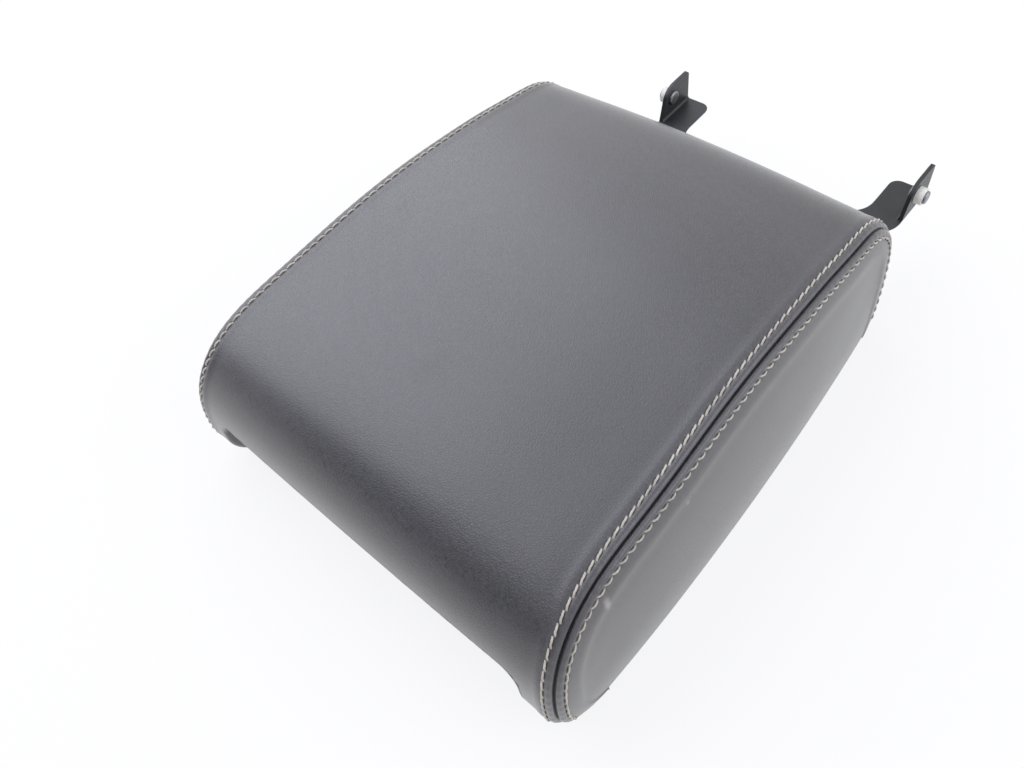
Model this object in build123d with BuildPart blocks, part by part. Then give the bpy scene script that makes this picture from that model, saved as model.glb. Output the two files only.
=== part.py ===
"""Padded armrest lid of a centre console.

A leather cover of three sewn panels is drawn over moulded foam on a ribbed carrier.
A liner closes the underside, two steel arms carry the hinge pins at the rear, and a
sprung paddle under the front edge releases the lid.  X is across, Y runs to the rear
and Z is up; the lid stands on the lower edges of its cheeks.
"""
import os
from math import cos, radians, sin, sqrt

from build123d import *

# Place of the middle of the cushion along Y, in the frame of the whole part
cushion_y = -27.75

# Cushion seen from the side, on the centre line (Y from the middle of the cushion)
nose_reach = 135.0
nose_height = 30.0
nose_tuck = 2.5
chin_cut = 19.0
cheek_back = 7.0
cheek_rise = 34.0
brow_y = -111.0
brow_height = 82.0
bonnet_y = -61.0
bonnet_height = 92.3
crown_y = -5.0
crown_height = 96.0
back_y = 60.0
back_height = 92.2
shoulder_y = 114.0
shoulder_height = 82.8
rear_reach = 139.0
rear_height = 46.0
rear_tuck = 5.0
heel_back = 4.5
heel_rise = 27.0
sill_depth = 10.0
outline_steps = 18
crown_radius = 900.0
crown_sweep = 10.0

# Cushion seen from the front: half widths at the sill, the belly and the crest
sill_half = 120.0
belly_half = 118.0
belly_height = 45.0
crest_half = 102.5
crest_height = 104.0
front_narrowing = 0.985
rear_narrowing = 0.91
seam_round = 9.0

# Leather, foam and seams
leather = 2.0
side_foam = 3.0
hem = 16.0

# Arch under the lid, between the cheeks
arch_half = 99.0
arch_top_half = 96.5
arch_height = 42.0
arch_round = 8.0

# Moulded carrier and liner
shell_wall = 2.5
shell_front = 126.0
shell_rear = 129.0
shell_foot_y = -96.0
shell_chin_height = 32.0
shell_front_height = 50.0
shell_brow_y = -95.0
shell_brow_height = 62.0
shell_crown_height = 72.0
shell_shoulder_y = 90.0
shell_shoulder_height = 66.0
shell_rear_height = 54.0
shell_round = 8.0
rib = 2.0
rib_drop = 8.0
rib_pitch = 36.0
liner_wall = 2.5
fit_gap = 0.2

# Hinge brackets: folded steel sheet, the left one a mirror image of the right one
bracket_middle = 26.5
ear_half_span = 73.0
sheet = 2.0
bend_inside = 1.5
arm_reach = 190.5
arm_width = 16.0
ear_height = 18.5
ear_length = 27.0
ear_slope = 6.0
tab_front = 76.0
tab_rear = 138.0
tab_inner = 30.5
tab_width = 30.0
arm_straight = 170.0

# Hinge pins and bushes
pin_setback = 15.5
pin_height = 10.0
pin_radius = 1.9
pin_head_radius = 3.4
pin_head = 1.2
rivet_head_radius = 4.2
rivet_head = 1.4
bush_radius = 4.5
bush_length = 4.0
bush_float = 0.1
running_gap = 0.05

# Fasteners
insert_radius = 4.0
insert_length = 9.0
bracket_screw_radius = 2.5
bracket_head_radius = 5.0
bracket_head = 3.0
bracket_screw_length = 15.0
bracket_boss_radius = 6.5
bracket_screw_spread = 16.0
bracket_screw_front = 88.0
bracket_screw_rear = 114.0
liner_screw_radius = 2.0
liner_head_radius = 4.0
liner_head = 2.4
liner_screw_length = 13.0
liner_boss_radius = 5.0
liner_screw_x = 82.0
liner_screw_front = -96.0
liner_screw_middle = 6.0
liner_screw_rear = 104.0
screw_play = 0.3

# Release paddle
paddle_middle = 6.5
paddle_width = 50.0
paddle_reach = 132.5
paddle_height = 33.5
paddle_thickness = 2.0
paddle_corner = 6.0
latch_y = -104.0
latch_height = 50.0
latch_pin_radius = 2.0
barrel_radius = 4.0
barrel_gap = 21.0
web = 3.0
hook_width = 14.0
hook_drop = 18.0
hook_nib = 5.0
hook_nib_height = 4.0
lug = 3.0
lug_gap = 0.5
notch_margin = 3.0
notch_rear = -94.0
spring_y = -110.5
spring_radius = 2.7
spring_wire = 0.5
spring_turns = 5
spigot_radius = 1.7
spigot = 3.0

# Rubber stops
stop_x = 58.0
stop_y = -106.0
stop_radius = 6.0
stop_height = 4.5
stop_stem_radius = 2.4
stop_stem = 5.0

# Derived values
seam_inset = seam_round * (1 - sqrt(0.5))
shell_inset = leather + side_foam
liner_top = arch_height + liner_wall
boss_foot = liner_top + fit_gap
ear_inner = bracket_middle + ear_half_span
ear_outer = ear_inner + sheet
arm_inner = ear_inner - arm_width
tab_outer_x = bracket_middle + tab_inner + tab_width
tab_inner_x = bracket_middle + tab_inner
plate_top = arch_height
plate_foot = plate_top - sheet
tab_middle = tab_inner_x + tab_width / 2
bracket_spots = [
    (tab_middle - bracket_screw_spread / 2, bracket_screw_front),
    (tab_middle + bracket_screw_spread / 2, bracket_screw_front),
    (tab_middle, bracket_screw_rear),
]
bracket_spots += [(2 * bracket_middle - x, y) for x, y in bracket_spots]
liner_spots = [(side * liner_screw_x, y) for side in (-1, 1) for y in (liner_screw_front, liner_screw_middle)]
liner_spots += [(-liner_screw_x, liner_screw_rear), (bracket_middle, liner_screw_rear)]
stop_spots = {"left": -stop_x, "right": stop_x}
paddle_left = paddle_middle - paddle_width / 2
paddle_right = paddle_middle + paddle_width / 2
crown_axis = Axis((0, 0, -crown_radius), (0, 1, 0))
mirror_plane = Plane.YZ.offset(bracket_middle)


def plan(z):
    """Plane seen from above at height z, with its middle at the cushion's."""
    return Plane((0, cushion_y, z))


def side(x):
    """Plane seen from the right, at x, with Y to the rear and Z up."""
    return Plane((x, cushion_y, 0), x_dir=(0, 1, 0), z_dir=(1, 0, 0))


def front(y):
    """Plane seen from the front, at y from the cushion's middle."""
    return Plane((0, cushion_y + y, 0), x_dir=(1, 0, 0), z_dir=(0, -1, 0))


def flanks(inset, base):
    """Body bounded by the two bulging, tapered cheeks, inset from the leather's outside."""
    stations = [(-nose_reach - 15, front_narrowing), (0, 1.0), (rear_reach + 15, rear_narrowing)]
    with BuildPart() as body:
        for y, narrowing in stations:
            with BuildSketch(front(y)):
                with BuildLine():
                    sill = (sill_half * narrowing - inset, base)
                    belly = (belly_half * narrowing - inset, belly_height)
                    crest = (crest_half * narrowing - inset, crest_height)
                    right = ThreePointArc(sill, belly, crest)
                    left = mirror(right, about=Plane.YZ)
                    Line(right @ 0, left @ 0)
                    Line(right @ 1, left @ 1)
                make_face()
        loft()
    return body.part


def side_outline(inset):
    """Points along the cushion's side view, from the nose over the top to the rear, inset from the leather."""
    rail = Spline(
        (-nose_reach + nose_tuck, -sill_depth),
        (-nose_reach, nose_height),
        (-nose_reach + cheek_back, nose_height + cheek_rise),
        (brow_y, brow_height),
        (bonnet_y, bonnet_height),
        (crown_y, crown_height),
        (back_y, back_height),
        (shoulder_y, shoulder_height),
        (rear_reach - heel_back, rear_height + heel_rise),
        (rear_reach, rear_height),
        (rear_reach - rear_tuck, -sill_depth),
        mode=Mode.PRIVATE,
    )
    steps = [k / outline_steps for k in range(outline_steps + 1)]
    return [rail @ k + (rail % k).rotate(Axis.Z, -90) * inset for k in steps]


def cushion(inset, base, edge_round):
    """Padded body under the crowned top, inset by so much leather, with rounded seams."""
    tilt = radians(crown_sweep)
    rim = Plane(
        (-crown_radius * sin(tilt), cushion_y, crown_radius * (cos(tilt) - 1)),
        x_dir=(0, 1, 0),
        z_dir=(cos(tilt), 0, sin(tilt)),
    )
    with BuildPart() as body:
        add(flanks(inset, base))
        with BuildSketch(rim):
            with BuildLine():
                outline = Spline(*side_outline(inset))
                Line(outline @ 1, outline @ 0)
            make_face()
        revolve(axis=crown_axis, revolution_arc=2 * crown_sweep, mode=Mode.INTERSECT)
        fillet(body.edges().sort_by(SortBy.LENGTH)[-2:], radius=edge_round)
        with BuildSketch(side(-2 * sill_half)):
            with BuildLine():
                slant = inset * sqrt(2)
                Polyline(
                    (-nose_reach - chin_cut, 2 * chin_cut + slant),
                    (-nose_reach + 2 * chin_cut + slant, -chin_cut),
                    (-nose_reach - chin_cut, -chin_cut),
                    close=True,
                )
            make_face()
        extrude(amount=4 * sill_half, mode=Mode.SUBTRACT)
    return body.part


def arch(grow, start, end):
    """Space under the lid, grown by so much on its top and sides, from start to end along Y."""
    with BuildPart() as body:
        with BuildSketch(front(start)):
            with BuildLine():
                FilletPolyline(
                    (-arch_half - grow, -20),
                    (-arch_half - grow, 0),
                    (-arch_top_half - grow, arch_height + grow),
                    (arch_top_half + grow, arch_height + grow),
                    (arch_half + grow, 0),
                    (arch_half + grow, -20),
                    radius=arch_round + grow,
                    close=True,
                )
            make_face()
        extrude(amount=-(end - start))
    return body.part


def carrier(inset):
    """Solid block inside the carrier's outside, inset by so much wall."""
    with BuildPart() as body:
        add(flanks(shell_inset + inset, leather + inset))
        with BuildSketch(side(-2 * sill_half)):
            with BuildLine():
                FilletPolyline(
                    (shell_foot_y, -20),
                    (-shell_front, shell_chin_height),
                    (-shell_front, shell_front_height),
                    (shell_brow_y, shell_brow_height),
                    (0, shell_crown_height),
                    (shell_shoulder_y, shell_shoulder_height),
                    (shell_rear, shell_rear_height),
                    (shell_rear, -20),
                    radius=shell_round,
                    close=True,
                )
            make_face()
            if inset:
                offset(amount=-inset)
        extrude(amount=4 * sill_half, mode=Mode.INTERSECT)
    return body.part


def stack(x, y, z, steps):
    """Round piece standing on z at (x, y): a list of (radius, height) from its foot up."""
    with BuildPart() as body:
        foot = z
        for radius, height in steps:
            with BuildSketch(plan(foot)):
                with Locations((x, y)):
                    Circle(radius)
            extrude(amount=height)
            foot += height
    return body.part


# Leather cover over the padding, cut into panels along the two seams
through = 2 * (nose_reach + rear_reach)
hem_front = -nose_reach + leather + hem
hem_rear = rear_reach - leather - hem
padding = cushion(leather, leather, seam_round - leather)
panel_line = flanks(seam_inset, leather)
with BuildPart() as cover:
    add(cushion(0, 0, seam_round))
    add(padding, mode=Mode.SUBTRACT)
    add(arch(0, -through, through), mode=Mode.SUBTRACT)

# Edges of the leather turned in under the front and the rear of the lid
with BuildPart() as hems:
    add(arch(leather, -through, hem_front))
    add(arch(leather, hem_rear, through))
    add(padding, mode=Mode.INTERSECT)
    add(arch(0, -through, through), mode=Mode.SUBTRACT)

with BuildPart() as top_panel:
    add(cover.part)
    add(panel_line, mode=Mode.INTERSECT)
    add(hems.part)

with BuildPart() as right_side_panel:
    add(cover.part)
    add(panel_line, mode=Mode.SUBTRACT)
    split(bisect_by=Plane.YZ, keep=Keep.TOP)

with BuildPart() as left_side_panel:
    mirror(right_side_panel.part, about=Plane.YZ)

# Moulded foam between the leather and the carrier
block = carrier(0)
with BuildPart() as foam_pad:
    add(padding)
    add(block, mode=Mode.SUBTRACT)
    add(arch(leather, -through, through), mode=Mode.SUBTRACT)
    add(arch(liner_wall + fit_gap, hem_front, hem_rear), mode=Mode.SUBTRACT)

# Carrier: a ribbed tray, open downwards, with bosses and the two lugs of the latch pin
cavity = carrier(shell_wall)
latch_seat = latch_height + 1.0
with BuildPart() as ribs:
    with BuildSketch(plan(boss_foot)):
        with Locations((0, (shell_rear + notch_rear) / 2)):
            with GridLocations(rib_pitch, 1, 5, 1):
                Rectangle(rib, shell_rear - notch_rear)
        with GridLocations(1, rib_pitch, 1, 5):
            Rectangle(2 * arch_half, rib)
    extrude(amount=crown_height)
    add(cavity, mode=Mode.INTERSECT)
    add(cavity.moved(Location((0, 0, -rib_drop))), mode=Mode.SUBTRACT)

with BuildPart() as bosses:
    with BuildSketch(plan(boss_foot)):
        with Locations(*bracket_spots):
            Circle(bracket_boss_radius)
        with Locations(*liner_spots):
            Circle(liner_boss_radius)
    extrude(amount=crown_height)
    for x in (paddle_left - lug_gap - lug, paddle_right + lug_gap):
        with BuildSketch(side(x)):
            with BuildLine():
                Polyline(
                    (latch_y - barrel_radius - 2, crown_height),
                    (latch_y - barrel_radius, latch_height - barrel_radius),
                    (latch_y + barrel_radius, latch_height - barrel_radius),
                    (latch_y + barrel_radius + 4, crown_height),
                    close=True,
                )
            make_face()
        extrude(amount=lug)
    with BuildSketch(plan(latch_seat)):
        with Locations((paddle_middle, spring_y)):
            Circle(spring_radius + spring_wire + 1)
    extrude(amount=crown_height)
    add(carrier(shell_wall / 2), mode=Mode.INTERSECT)

with BuildPart() as lid_shell:
    add(block)
    add(cavity, mode=Mode.SUBTRACT)
    add(ribs.part)
    add(bosses.part)
    add(arch(liner_wall + fit_gap, -through, through), mode=Mode.SUBTRACT)
    with BuildSketch(plan(boss_foot)):
        with Locations(*bracket_spots):
            Circle(insert_radius)
    extrude(amount=insert_length, mode=Mode.SUBTRACT)
    with BuildSketch(plan(boss_foot)):
        with Locations(*bracket_spots):
            Circle(bracket_screw_radius + screw_play)
        with Locations(*liner_spots):
            Circle(liner_screw_radius)
    extrude(amount=insert_length + 2, mode=Mode.SUBTRACT)
    with BuildSketch(side(paddle_left - lug_gap - lug)):
        with Locations((latch_y, latch_height)):
            Circle(latch_pin_radius)
    extrude(amount=paddle_width + 2 * (lug_gap + lug), mode=Mode.SUBTRACT)

# Liner that closes the underside, notched at the front for the paddle
with BuildPart() as lid_liner:
    add(arch(liner_wall, hem_front + fit_gap, hem_rear - fit_gap))
    add(arch(0, -through, through), mode=Mode.SUBTRACT)
    with BuildSketch(plan(-through)):
        Rectangle(through, 2 * through)
    extrude(amount=through + leather + shell_wall, mode=Mode.SUBTRACT)
    with BuildSketch(plan(arch_height)):
        with Locations(*bracket_spots):
            Circle(bracket_screw_radius + screw_play)
        with Locations(*liner_spots):
            Circle(liner_screw_radius + screw_play)
        with Locations(*[(x, stop_y) for x in stop_spots.values()]):
            Circle(stop_stem_radius)
        with Locations((paddle_middle, (hem_front + notch_rear) / 2)):
            Rectangle(paddle_width + 2 * notch_margin, notch_rear - hem_front)
    extrude(amount=liner_wall, mode=Mode.SUBTRACT)

# Hinge brackets: a flat tab under the lid, an arm that swings outwards, and an upright ear
ear_front = arm_reach - ear_length
with BuildPart() as right_hinge_bracket:
    with BuildSketch(plan(plate_foot)) as blank:
        with BuildLine():
            Polyline((ear_outer, ear_front), (ear_outer, arm_reach), (arm_inner, arm_reach), (arm_inner, arm_straight))
            Spline((arm_inner, arm_straight), (tab_inner_x, tab_rear), tangents=((0, -1), (0, -1)))
            Polyline(
                (tab_inner_x, tab_rear), (tab_inner_x, tab_front), (tab_outer_x, tab_front), (tab_outer_x, tab_rear)
            )
            Spline((tab_outer_x, tab_rear), (ear_outer, ear_front), tangents=((0, 1), (0, 1)))
        make_face()
        fillet(blank.vertices().group_by(Axis.Y)[0], radius=tab_width / 4)
        fillet(blank.vertices().group_by(Axis.Y)[-1].sort_by(Axis.X)[0], radius=arm_width / 3)
    extrude(amount=sheet)
    with BuildSketch(side(ear_inner)) as ear:
        with BuildLine():
            Polyline(
                (arm_reach, plate_foot),
                (arm_reach, plate_top + ear_height),
                (ear_front + ear_slope, plate_top + ear_height),
                (ear_front, plate_foot),
                close=True,
            )
        make_face()
        fillet(ear.vertices().group_by(Axis.Y)[-1].sort_by(Axis.X)[-1], radius=sheet)
        fillet(ear.vertices().group_by(Axis.Y)[-1].sort_by(Axis.X)[0], radius=ear_height / 2)
    extrude(amount=sheet)
    along = right_hinge_bracket.edges().filter_by(Axis.Y)
    fillet(
        [e for e in along if abs(e.center().X - ear_inner) < 0.01 and abs(e.center().Z - plate_top) < 0.01],
        radius=bend_inside,
    )
    along = right_hinge_bracket.edges().filter_by(Axis.Y)
    fillet(
        [e for e in along if abs(e.center().X - ear_outer) < 0.01 and abs(e.center().Z - plate_foot) < 0.01],
        radius=sheet * 0.9,
    )
    with BuildSketch(plan(plate_foot)):
        with Locations(*bracket_spots[:3]):
            Circle(bracket_screw_radius + screw_play)
    extrude(amount=sheet, mode=Mode.SUBTRACT)
    with BuildSketch(side(ear_inner)):
        with Locations((arm_reach - pin_setback, plate_top + pin_height)):
            Circle(pin_radius)
    extrude(amount=sheet, mode=Mode.SUBTRACT)

with BuildPart() as left_hinge_bracket:
    mirror(right_hinge_bracket.part, about=mirror_plane)

# Hinge pins, riveted through the ears, and the bushes that turn on them
pin_place = (arm_reach - pin_setback, plate_top + pin_height)
bush_start = ear_outer + bush_float
head_start = bush_start + bush_length + bush_float
with BuildPart() as right_pivot_pin:
    for start, radius, length in (
        (ear_inner - rivet_head, rivet_head_radius, rivet_head),
        (ear_inner, pin_radius, head_start - ear_inner),
        (head_start, pin_head_radius, pin_head),
    ):
        with BuildSketch(side(start)):
            with Locations(pin_place):
                Circle(radius)
        extrude(amount=length)
    fillet(right_pivot_pin.edges().filter_by(GeomType.CIRCLE).sort_by(Axis.X)[0], radius=rivet_head * 0.7)
    chamfer(right_pivot_pin.edges().filter_by(GeomType.CIRCLE).sort_by(Axis.X)[-1], length=pin_head * 0.4)

with BuildPart() as right_pivot_bush:
    with BuildSketch(side(bush_start)):
        with Locations(pin_place):
            Circle(bush_radius)
            Circle(pin_radius + running_gap, mode=Mode.SUBTRACT)
    extrude(amount=bush_length)

with BuildPart() as left_pivot_pin:
    mirror(right_pivot_pin.part, about=mirror_plane)

with BuildPart() as left_pivot_bush:
    mirror(right_pivot_bush.part, about=mirror_plane)

# Threaded inserts and screws
with BuildPart() as bracket_inserts:
    with BuildSketch(plan(boss_foot)):
        with Locations(*bracket_spots):
            Circle(insert_radius)
        with Locations(*bracket_spots):
            Circle(bracket_screw_radius, mode=Mode.SUBTRACT)
    extrude(amount=insert_length)

with BuildPart() as bracket_screws:
    for x, y in bracket_spots:
        add(
            stack(
                x,
                y,
                plate_foot - bracket_head,
                [(bracket_head_radius, bracket_head), (bracket_screw_radius, bracket_screw_length)],
            )
        )

with BuildPart() as liner_screws:
    for x, y in liner_spots:
        add(
            stack(
                x,
                y,
                arch_height - liner_head,
                [(liner_head_radius, liner_head), (liner_screw_radius, liner_screw_length)],
            )
        )

# Release paddle: finger plate, web, two barrels and the hook, moulded in one piece
hook_foot = paddle_height - hook_drop
with BuildPart() as latch_paddle:
    with BuildSketch(plan(paddle_height)) as finger:
        with Locations((paddle_middle, (latch_y + web / 2 - paddle_reach) / 2)):
            Rectangle(paddle_width, paddle_reach + latch_y + web / 2)
        fillet(finger.vertices().group_by(Axis.Y)[0], radius=paddle_corner)
    extrude(amount=paddle_thickness)
    fillet(latch_paddle.faces().sort_by(Axis.Z)[0].edges().filter_by(Axis.X).sort_by(Axis.Y)[0], radius=1.0)
    with BuildSketch(side(paddle_left)):
        with Locations((latch_y, (paddle_height + latch_height) / 2)):
            Rectangle(web, latch_height - paddle_height)
        with Locations((latch_y, latch_height)):
            Circle(barrel_radius)
    extrude(amount=paddle_width)
    with BuildSketch(side(paddle_middle - barrel_gap / 2)):
        with Locations((latch_y, latch_height)):
            Rectangle(2 * barrel_radius + 1, 2 * barrel_radius + 2)
    extrude(amount=barrel_gap, mode=Mode.SUBTRACT)
    with BuildSketch(side(paddle_left)):
        with Locations((latch_y, latch_height)):
            Circle(latch_pin_radius + running_gap)
    extrude(amount=paddle_width, mode=Mode.SUBTRACT)
    with BuildSketch(side(paddle_middle - hook_width / 2)):
        with BuildLine():
            Polyline(
                (latch_y - web / 2, paddle_height),
                (latch_y - web / 2, hook_foot),
                (latch_y + web / 2, hook_foot),
                (latch_y + web / 2 + hook_nib, hook_foot + hook_nib_height / 2),
                (latch_y + web / 2 + hook_nib, hook_foot + hook_nib_height),
                (latch_y + web / 2, hook_foot + hook_nib_height),
                (latch_y + web / 2, paddle_height),
                close=True,
            )
        make_face()
    extrude(amount=hook_width)
    with BuildSketch(plan(paddle_height + paddle_thickness)):
        with Locations((paddle_middle, spring_y)):
            Circle(spigot_radius)
    extrude(amount=spigot)

with BuildPart() as latch_pin:
    with BuildSketch(side(paddle_left - lug_gap - lug)):
        with Locations((latch_y, latch_height)):
            Circle(latch_pin_radius)
    extrude(amount=paddle_width + 2 * (lug_gap + lug))

# Return spring between the paddle and its seat on the carrier
spring_foot = paddle_height + paddle_thickness + spring_wire
spring_rise = latch_seat - spring_wire - spring_foot
with BuildPart() as latch_spring:
    with BuildLine() as coil:
        Helix(
            pitch=spring_rise / spring_turns,
            height=spring_rise,
            radius=spring_radius,
            center=(paddle_middle, cushion_y + spring_y, spring_foot),
        )
    with BuildSketch(Plane(coil.line @ 0, z_dir=coil.line % 0)):
        RegularPolygon(spring_wire, 8)
    sweep(is_frenet=True)

# Rubber stops pressed into the liner
with BuildPart() as right_bump_stop:
    add(stack(stop_x, stop_y, arch_height - stop_height, [(stop_radius, stop_height), (stop_stem_radius, stop_stem)]))
    fillet(right_bump_stop.edges().filter_by(GeomType.CIRCLE).sort_by(Axis.Z)[0], radius=stop_height / 4)

with BuildPart() as left_bump_stop:
    mirror(right_bump_stop.part, about=Plane.YZ)

pieces = {
    "top_panel": top_panel,
    "left_side_panel": left_side_panel,
    "right_side_panel": right_side_panel,
    "foam_pad": foam_pad,
    "lid_shell": lid_shell,
    "lid_liner": lid_liner,
    "left_hinge_bracket": left_hinge_bracket,
    "right_hinge_bracket": right_hinge_bracket,
    "left_pivot_pin": left_pivot_pin,
    "right_pivot_pin": right_pivot_pin,
    "left_pivot_bush": left_pivot_bush,
    "right_pivot_bush": right_pivot_bush,
    "bracket_inserts": bracket_inserts,
    "bracket_screws": bracket_screws,
    "liner_screws": liner_screws,
    "latch_paddle": latch_paddle,
    "latch_pin": latch_pin,
    "latch_spring": latch_spring,
    "left_bump_stop": left_bump_stop,
    "right_bump_stop": right_bump_stop,
}

os.makedirs("parts", exist_ok=True)
for name, piece in pieces.items():
    piece.part.label = name
    export_step(piece.part, f"parts/{name}.step")
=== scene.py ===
"""Padded armrest lid of a centre console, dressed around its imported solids.

Three sewn leather panels are drawn over the foam: a crowned top and two cheeks, joined by
a double-stitched seam on each side.  Lengths in the classes are millimetres.
"""
import logging
import math
from dataclasses import dataclass
from enum import Enum
from typing import Any, Callable

import bpy
import numpy as np
from mathutils import Matrix, Vector


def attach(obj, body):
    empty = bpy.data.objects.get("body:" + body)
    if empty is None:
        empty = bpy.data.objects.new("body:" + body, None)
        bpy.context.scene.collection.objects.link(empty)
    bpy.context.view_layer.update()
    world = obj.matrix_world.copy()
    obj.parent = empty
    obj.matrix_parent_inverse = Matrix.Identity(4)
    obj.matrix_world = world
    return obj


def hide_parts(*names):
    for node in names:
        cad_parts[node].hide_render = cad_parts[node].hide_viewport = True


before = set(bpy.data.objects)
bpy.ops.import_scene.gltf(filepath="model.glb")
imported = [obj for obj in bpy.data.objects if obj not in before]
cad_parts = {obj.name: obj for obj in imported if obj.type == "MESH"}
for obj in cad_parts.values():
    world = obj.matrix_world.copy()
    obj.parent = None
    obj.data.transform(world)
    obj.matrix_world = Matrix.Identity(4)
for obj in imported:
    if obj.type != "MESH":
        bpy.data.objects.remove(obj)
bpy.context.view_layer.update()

MM = 0.001
log = logging.getLogger("armrest")


class Side(Enum):
    """The two sides of the lid, by the sign of X."""

    LEFT = -1
    RIGHT = 1


# Finishes


def linear(code: str) -> tuple[float, float, float, float]:
    """Turn an sRGB hex colour into linear RGBA.

    Args:
        code: colour such as "#3a3b40".

    Returns:
        Four linear values, alpha 1.
    """
    parts = [int(code[k : k + 2], 16) / 255 for k in (1, 3, 5)]
    values = [p / 12.92 if p <= 0.04045 else ((p + 0.055) / 1.055) ** 2.4 for p in parts]
    return (values[0], values[1], values[2], 1.0)


def per_mm(size: float) -> float:
    """Texture scale, per metre, of a pattern whose cells are size millimetres wide."""
    return 1.0 / (size * MM)


def add_node(
    tree: bpy.types.NodeTree, kind: str, inputs: dict | None = None, **settings: Any
) -> bpy.types.Node:
    """Add a node with its settings and links.

    Args:
        tree: node tree that gets the node.
        kind: Blender's node type.
        inputs: socket name or number to a value, or to another node's output socket.
        settings: properties of the node.

    Returns:
        The new node.
    """
    made = tree.nodes.new(kind)
    for name, value in settings.items():
        setattr(made, name, value)
    for name, value in (inputs or {}).items():
        if isinstance(value, bpy.types.NodeSocket):
            tree.links.new(value, made.inputs[name])
        else:
            made.inputs[name].default_value = value
    return made


def blank_material(name: str) -> tuple[bpy.types.Material, bpy.types.NodeTree, bpy.types.NodeSocket]:
    """Start a material.

    Args:
        name: name for the real material and its finish.

    Returns:
        The material, its emptied tree and a socket with places on the object in metres.
    """
    made = bpy.data.materials.new(name)
    made.use_nodes = True
    made.node_tree.nodes.clear()
    place = add_node(made.node_tree, "ShaderNodeTexCoord").outputs["Object"]
    return made, made.node_tree, place


def ramp(tree: bpy.types.NodeTree, value: bpy.types.NodeSocket, low: float, high: float, ends: tuple) -> Any:
    """Spread a value from low to high over two results.

    Args:
        tree: node tree.
        value: socket that is read.
        low: value that gives the first end.
        high: value that gives the second end.
        ends: the two results.

    Returns:
        Output socket.
    """
    made = add_node(
        tree,
        "ShaderNodeMapRange",
        {"Value": value, "From Min": low, "From Max": high, "To Min": ends[0], "To Max": ends[1]},
    )
    return made.outputs["Result"]


def blend(tree: bpy.types.NodeTree, factor: Any, first: Any, second: Any) -> Any:
    """Mix two colours.

    Args:
        tree: node tree.
        factor: number or socket.
        first: colour or socket at factor 0.
        second: colour or socket at factor 1.

    Returns:
        Colour socket.
    """
    inputs = {0: factor, 6: first, 7: second}
    return add_node(tree, "ShaderNodeMix", inputs, data_type="RGBA", blend_type="MIX").outputs[2]


def surface(tree: bpy.types.NodeTree, shader: bpy.types.Node) -> None:
    """Put a shader on the material's output."""
    add_node(tree, "ShaderNodeOutputMaterial", {"Surface": shader.outputs[0]})


@dataclass(frozen=True)
class Wear:
    """A mark on the leather: place and reach in millimetres, stretch by axis, colour and strength."""

    place: tuple[float, float, float]
    reach: float
    stretch: tuple[float, float, float]
    colour: str
    strength: float


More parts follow.
